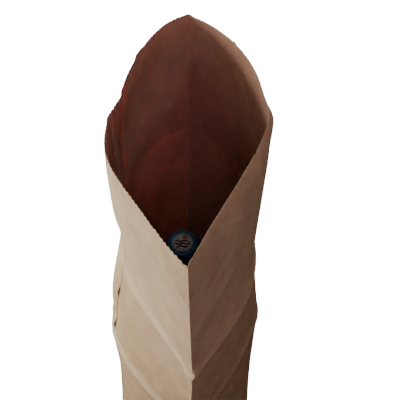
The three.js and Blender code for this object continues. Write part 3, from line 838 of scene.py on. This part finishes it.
def flat_layer(name, outline, low, thickness, cockle, seed, spacing=6.0):
    """A thin sheet with this outline. cockle is how far it waves, in millimetres."""
    outline = np.array(outline, float)
    border = []
    for a, b in zip(outline, np.roll(outline, -1, axis=0)):
        count = max(1, int(np.hypot(*(b - a)) / spacing))
        border += [a + (b - a) * k / count for k in range(count)]
    rng = np.random.default_rng(seed)
    gx, gy = np.meshgrid(np.arange(-GRID_X, GRID_X + 1, spacing),
                         np.arange(-GRID_Y, GRID_Y + 1, spacing))
    grid = np.column_stack([gx.ravel(), gy.ravel()])
    grid = grid + rng.uniform(-JITTER, JITTER, (gx.size, 2))
    grid = grid[inside_outline(grid[:, 0], grid[:, 1], outline)]
    gaps = np.min(np.hypot(*(grid[:, None] - np.array(border)[None]).transpose(2, 0, 1)), axis=1)
    grid = grid[gaps > spacing * CLEAR_OF_BORDER]
    points = [Vector(p) for p in border + list(grid)]
    loop = list(range(len(border)))
    filled = delaunay_2d_cdt(points, [], [loop], 1, 1e-6)
    plan, triangles = np.array([tuple(p) for p in filled[0]]), [list(f) for f in filled[2]]
    wave = soft_noise(plan[:, 0], plan[:, 1], 23, 31, seed) * cockle
    under = np.column_stack([plan, low + np.maximum(wave, 0)])
    over = np.column_stack([plan, low + thickness + np.maximum(wave, 0)])
    count = len(plan)
    faces = [[i + count for i in f] for f in triangles] + [f[::-1] for f in triangles]
    used = {}
    for f in triangles:
        for a, b in zip(f, f[1:] + f[:1]):
            used[(a, b)] = True
    for a, b in used:
        if (b, a) not in used:
            faces.append([a, b, b + count, a + count])
    piece = mesh_object(name, np.vstack([under, over]), faces, [kraft_outside])
    flat = np.column_stack([plan[:, 1], plan[:, 0] + 900, np.zeros(count)])
    keep_values(piece, "paper", np.vstack([flat, flat + [0, 0, 300]]))
    to_edge = np.min(np.hypot(*(plan[:, None] - np.array(border)[None]).transpose(2, 0, 1)), axis=1)
    keep_values(piece, "wear_and_painted_light", np.tile(0.5 * hump(to_edge, 2.0), 2))
    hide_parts("sack")
    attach(piece, "root")
    return piece


HALF_BASE = (BASE_RIGHT - BASE_LEFT) / 2
FLAP_EDGE = BASE_MIDDLE + 14
FOLD_TIP = BASE_HALF_LENGTH - HALF_BASE + 14
INSET = 0.25
FLAP_OVERLAP = 9
END_SHORTER = 6
FLOOR_RING_UP, FLOOR_CLEAR = 1.6, 0.7
left_edge, right_edge, end_edge = BASE_LEFT + INSET, BASE_RIGHT - INSET, BASE_HALF_LENGTH - INSET
outer_flap = [(left_edge, -end_edge), (BASE_MIDDLE, -FOLD_TIP), (FLAP_EDGE, -FOLD_TIP),
              (FLAP_EDGE, FOLD_TIP), (BASE_MIDDLE, FOLD_TIP), (left_edge, end_edge)]
inner_flap = [(FLAP_EDGE - FLAP_OVERLAP, -FOLD_TIP), (right_edge, -end_edge),
              (right_edge, end_edge), (FLAP_EDGE - FLAP_OVERLAP, FOLD_TIP)]
flat_layer("bottom_flap_outer", outer_flap, OUTER_LOW, LAYER_PAPER, 0.0, 21)
flat_layer("bottom_flap_inner", inner_flap, INNER_LOW, LAYER_PAPER, 0.0, 22)
for end, name in ((-1, "near"), (1, "far")):
    tip = end * (FOLD_TIP - END_SHORTER)
    end_fold = [(left_edge, end * end_edge), (right_edge, end * end_edge),
                (FLAP_EDGE, tip), (BASE_MIDDLE, tip)]
    flat_layer("bottom_end_" + name, end_fold[::-end] if end > 0 else end_fold,
               END_LOW, LAYER_PAPER, 0.0, 23 + end)
floor_shares = np.linspace(0, 1, 60, endpoint=False)
floor_ring = np.vstack([face_section("left", floor_shares, FLOOR_RING_UP),
                        face_section("right", 1 - floor_shares, FLOOR_RING_UP)])
floor_ring -= outward_normals(floor_ring)[0] * FLOOR_CLEAR
flat_layer("sack_floor", floor_ring, FLOOR_LOW, LAYER_PAPER, FLOOR_COCKLE, 25)
print("five layers of the bottom made")

# %% [markdown]
# ## The bottle
#
# It stands inside, and only its shoulder and cap show from above. A bottle is a turned shape, so
# a profile goes round an axis. The profile's corners are rounded first, because moulded plastic
# has no sharp edge, and each groove of the grip catches a line of light. It holds water, so
# light bends in it as in one clear body with a faint tint.

# %% Turned bottle
BOTTLE_HEIGHT = 312
BOTTLE_RADIUS = 44.5
BOTTLE_PLACE = (-0.5, 29.7)
BOTTLE_LEAN = math.radians(8)
FOOT_RADIUS = 36
SACK_FLOOR, GAP = 2.4, 0.3
SHOULDER_TOP, SHOULDER_FOOT = 28, 62
NECK_RADIUS, FLANGE_RADIUS = 12.2, 16.4
CAP_RADIUS, CAP_SKIRT, CAP_TOP = 14.3, 14, 2.4
BAND_GAP, BAND_HEIGHT = 0.8, 3.4
CAP_RIBS, RIB_DEPTH = 30, 0.45
CAP_FOOT = BOTTLE_HEIGHT - CAP_SKIRT
BAND_TOP = CAP_FOOT - BAND_GAP
BAND_FOOT = BAND_TOP - BAND_HEIGHT
STANDING = SACK_FLOOR + GAP + FOOT_RADIUS * math.sin(BOTTLE_LEAN)
STAND = (Matrix.Translation(Vector((*BOTTLE_PLACE, STANDING)) * MM)
         @ Matrix.Rotation(BOTTLE_LEAN, 4, "X"))


def rounded(profile, radius, steps=4):
    """A profile of (r, z) whose inner corners are replaced by short curves."""
    points = [np.array(p, float) for p in profile]
    result = [points[0]]
    for before, corner, after in zip(points, points[1:], points[2:]):
        reach = [min(radius, 0.45 * np.hypot(*(end - corner))) for end in (before, after)]
        start = corner + (before - corner) * reach[0] / max(np.hypot(*(before - corner)), 1e-6)
        end = corner + (after - corner) * reach[1] / max(np.hypot(*(after - corner)), 1e-6)
        for t in np.linspace(0, 1, steps + 1):
            result.append((1 - t)**2 * start + 2 * (1 - t) * t * corner + t**2 * end)
    return result + [points[-1]]


def turned(name, profile, sides, materials, wobble=None):
    """A closed turned body. Its profile runs from the axis to the axis, or round a ring."""
    turn = np.linspace(0, 2 * math.pi, sides, endpoint=False)
    solid = profile[0][0] == 0
    rings, keep = [], profile[1:-1] if solid else profile
    for r, z in keep:
        radius = r + (wobble(turn, r, z) if wobble else 0)
        rings.append(np.column_stack([radius * np.cos(turn), radius * np.sin(turn),
                                      np.full(sides, z)]))
    points = np.vstack(rings)
    faces = row_faces(len(keep), sides, 0, True, True)
    last = (len(keep) - 1) * sides
    if solid:
        points = np.vstack([points, [[0, 0, profile[0][1]], [0, 0, profile[-1][1]]]])
        first = len(points) - 2
    for i in range(sides):
        j = (i + 1) % sides
        if solid:
            faces += [[first, j, i], [first + 1, last + i, last + j]]
        else:
            faces.append([last + j, j, i, last + i][::-1])
    piece = mesh_object(name, points, faces, materials, sharp_angle=50)
    keep_values(piece, "turned", points)
    piece.matrix_world = STAND
    return piece


def bottle_profile():
    low = [(0, 5), (22, 3), (30, 0.6), (FOOT_RADIUS, 0.2), (FOOT_RADIUS + 4, 1.7),
           (BOTTLE_RADIUS - 1, 6.2), (BOTTLE_RADIUS - 0.1, 12.5)]
    for z in (62, 86, 110, 134):
        low += [(BOTTLE_RADIUS - 0.1, z - 5), (BOTTLE_RADIUS - 1.6, z - 2),
                (BOTTLE_RADIUS - 1.6, z + 2), (BOTTLE_RADIUS - 0.1, z + 5)]
    foot, top = BOTTLE_HEIGHT - SHOULDER_FOOT, BOTTLE_HEIGHT - SHOULDER_TOP
    shoulder = []
    for turn in np.linspace(0, math.pi / 2, 16):
        r = NECK_RADIUS + 2 + (BOTTLE_RADIUS - 0.1 - NECK_RADIUS - 2) * math.cos(turn)
        shoulder.append((r, foot + (top - foot) * math.sin(turn)))
    flange = BAND_FOOT - GAP
    neck = [(NECK_RADIUS + 2, flange - 2.6), (FLANGE_RADIUS, flange - 1.7), (FLANGE_RADIUS, flange),
            (NECK_RADIUS - 0.1, flange), (NECK_RADIUS - 0.1, BOTTLE_HEIGHT - CAP_TOP - GAP),
            (0, BOTTLE_HEIGHT - CAP_TOP - GAP)]
    return rounded(low, 2.0) + shoulder + rounded(neck, 0.5, 2)


bottle_plastic = Finish("bottle_plastic", Transmission_Weight=0.82, IOR=1.40,
                        Coat_Weight=0.6, Coat_Roughness=0.04)
body_place = bottle_plastic.attribute("turned")
ripple = bottle_plastic.noise(body_place, 0.06, 2.0, 0.5)
smudge = bottle_plastic.noise(body_place, 0.11, 4.0, 0.6).between(0.45, 0.75)
bottle_plastic.set(
    Base_Color=bottle_plastic.blend(ripple.between(0.3, 0.7), (0.28, 0.55, 0.62, 1),
                                    (0.36, 0.66, 0.72, 1)),
    Roughness=0.03 + smudge * 0.10,
    Normal=bottle_plastic.bump(ripple, 0.0006, 0.4))
bottle = turned("bottle_body", bottle_profile(), 96, [bottle_plastic.material])
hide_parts("bottle")
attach(bottle, "root")
print("bottle of", len(bottle.data.vertices), "points")

# %% [markdown]
# ## The cap
#
# The cap is a blue screw cap with a ribbed skirt and a seal band. Its top carries a pale printed
# disc that fades into the blue. The print here is a made-up one: three dark ripples with a small
# red sun, about as large and as dark as such a print is. It is drawn from distances on the cap.

# %% Cap and its print
PRINT_RADIUS = 10.7


def cap_ribs(turn, r, z):
    inside_skirt = ease(CAP_FOOT + 0.9, CAP_FOOT + 1.6, z) * (1 - ease(
        BOTTLE_HEIGHT - 1.7, BOTTLE_HEIGHT - 0.9, z))
    ridge = np.clip(0.5 + 0.9 * np.cos(turn * CAP_RIBS), 0, 1)
    return (ridge - 1) * RIB_DEPTH * inside_skirt * (1 if r > CAP_RADIUS - 0.6 else 0)


cap_plastic = Finish("cap_plastic", Coat_Weight=0.15, Coat_Roughness=0.25)
cap_place = cap_plastic.attribute("turned")
cap_x, cap_y, cap_z = (cap_plastic.part(cap_place, axis) for axis in (0, 1, 2))
from_middle = (cap_x * cap_x + cap_y * cap_y).root()
on_top = cap_z.between(BOTTLE_HEIGHT - 0.6, BOTTLE_HEIGHT - 0.3)
disc = (1 - from_middle.between(PRINT_RADIUS - 1.6, PRINT_RADIUS + 0.5)) * on_top
tint = cap_plastic.noise(cap_place, 0.5, 3.0, 0.5)
print_white = cap_plastic.blend(from_middle.between(5.0, PRINT_RADIUS), (0.62, 0.60, 0.57, 1),
                                (0.36, 0.45, 0.52, 1))
cap_colour = cap_plastic.blend(tint, (0.035, 0.135, 0.26, 1), (0.05, 0.17, 0.31, 1))
cap_colour = cap_plastic.blend(disc, cap_colour, print_white)
for middle, half_width, shift in ((1.6, 6.6, 0.0), (-1.3, 7.4, 1.4), (-4.2, 5.6, 2.6)):
    bent = cap_y - middle - (cap_x * 0.8 + shift).wave() * 0.6
    stroke = (1 - bent.size().between(0.62, 1.0)) * (
        1 - cap_x.size().between(half_width - 0.6, half_width)) * on_top
    cap_colour = cap_plastic.blend(stroke * 0.97, cap_colour, (0.015, 0.018, 0.03, 1))
sun_x, sun_y = cap_x - 2.4, cap_y - 5.6
sun = (1 - (sun_x * sun_x + sun_y * sun_y).root().between(1.9, 2.3)) * on_top
cap_colour = cap_plastic.blend(sun * 0.92, cap_colour, (0.45, 0.06, 0.035, 1))
scuffs = cap_plastic.noise(cap_place, 1.6, 4.0, 0.6).between(0.5, 0.8)
cap_plastic.set(Base_Color=cap_colour, Roughness=0.38 + scuffs * 0.2,
                Normal=cap_plastic.bump(tint, 0.0001, 0.3))

cap_outline = [(0, BOTTLE_HEIGHT - CAP_TOP), (NECK_RADIUS + GAP, BOTTLE_HEIGHT - CAP_TOP),
               (NECK_RADIUS + GAP, CAP_FOOT), (CAP_RADIUS, CAP_FOOT)]
cap_outline += [(CAP_RADIUS, z) for z in np.linspace(CAP_FOOT + 0.8, BOTTLE_HEIGHT - 0.9, 12)]
cap_outline += [(CAP_RADIUS - 0.25, BOTTLE_HEIGHT - 0.35), (CAP_RADIUS - 0.9, BOTTLE_HEIGHT),
                (CAP_RADIUS - 2.2, BOTTLE_HEIGHT), (CAP_RADIUS - 2.7, BOTTLE_HEIGHT - 0.18)]
cap_outline += [(r, BOTTLE_HEIGHT - 0.2) for r in (10, 7, 4, 1)] + [(0, BOTTLE_HEIGHT - 0.2)]
cap_shell = turned("cap_shell", cap_outline, 360, [cap_plastic.material], cap_ribs)
band_outline = [(NECK_RADIUS + GAP, BAND_FOOT), (CAP_RADIUS, BAND_FOOT),
                (CAP_RADIUS + 0.05, BAND_TOP - 0.3), (CAP_RADIUS - 0.3, BAND_TOP),
                (NECK_RADIUS + GAP, BAND_TOP)]
cap_band = turned("cap_band", band_outline, 120, [cap_plastic.material])
for piece in (cap_shell, cap_band):
    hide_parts("cap")
    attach(piece, "root")
print("cap with", CAP_RIBS, "ribs")

# %% [markdown]
# ## Floor and light
#
# The sack stands on a plain white floor. A window on the left, level with the mouth, lights the
# left face and a band under the rim of the far right wall, and a dim glow beside it softens the
# turn to the front. Two weak lights in front and two on the right leave the right face in half
# shade. One more stands low behind the sack, so that its back isn't black. The floor's own glow
# isn't allowed to light the sack.

# %% Stage
def add_area(name, place, target, size, power, colour):
    data = bpy.data.lights.new(name, "AREA")
    data.shape = "RECTANGLE"
    data.size, data.size_y = size
    data.energy = power
    data.color = colour
    lamp = bpy.data.objects.new(name, data)
    lamp.location = place
    lamp.rotation_euler = (Vector(target) - Vector(place)).to_track_quat("-Z", "Y").to_euler()
    bpy.context.scene.collection.objects.link(lamp)
    return lamp


FLOOR_HALF = 6000.0                     # mm
FLOOR_LEVEL = -0.5
BACKGROUND_GLOW = 20.0
floor_finish = Finish("white_floor", Base_Color=(0.85, 0.85, 0.85, 1), Roughness=0.9,
                      Emission_Color=(1, 1, 1, 1), Emission_Strength=BACKGROUND_GLOW)
corners = [(x * FLOOR_HALF, y * FLOOR_HALF, FLOOR_LEVEL)
           for x, y in ((-1, -1), (1, -1), (1, 1), (-1, 1))]
floor = mesh_object("floor", corners, [(0, 1, 2, 3)], [floor_finish.material], smooth=False)
floor.visible_diffuse = False
floor.visible_glossy = False
floor.visible_transmission = False

world = bpy.data.worlds.new("world")
world.use_nodes = True
world.node_tree.nodes["Background"].inputs[0].default_value = (1, 1, 1, 1)
world.node_tree.nodes["Background"].inputs[1].default_value = BACKGROUND_GLOW
world.cycles_visibility.diffuse = False
world.cycles_visibility.glossy = False
world.cycles_visibility.transmission = False
bpy.context.scene.world = world

# name, place, what it faces, size, watts, colour
LIGHTS = [
    ("window", (-0.60, 0.0, 0.445), (0, 0, 0.36), (0.50, 0.28), 6.4, (0.982, 1.0, 0.923)),
    ("window_glow", (-0.344, -0.491, 0.62), (0, 0, 0.36), (0.25, 0.25), 0.72, (1.0, 0.90, 0.69)),
    ("front", (0.08, -1.02, 1.18), (0, 0.10, 0.36), (0.30, 0.20), 1.25, (1.0, 0.43, 0.86)),
    ("front_high", (0.05, -0.85, 1.40), (0, 0.10, 0.36), (0.30, 0.20), 1.87, (1.0, 0.89, 0.925)),
    ("right", (0.866, -0.50, 0.60), (0, 0, 0.36), (0.35, 0.35), 1.11, (1.0, 0.56, 0.44)),
    ("right_high", (0.707, -0.707, 1.25), (-0.03, 0.05, 0.34), (0.30, 0.30), 1.58,
     (0.61, 1.0, 0.98)),
    ("back", (0.35, 1.10, 0.28), (0, 0, 0.22), (0.50, 0.40), 3.0, (1.0, 0.95, 0.88)),
]
for light in LIGHTS:
    add_area(*light)
print(len(LIGHTS), "soft lights set")
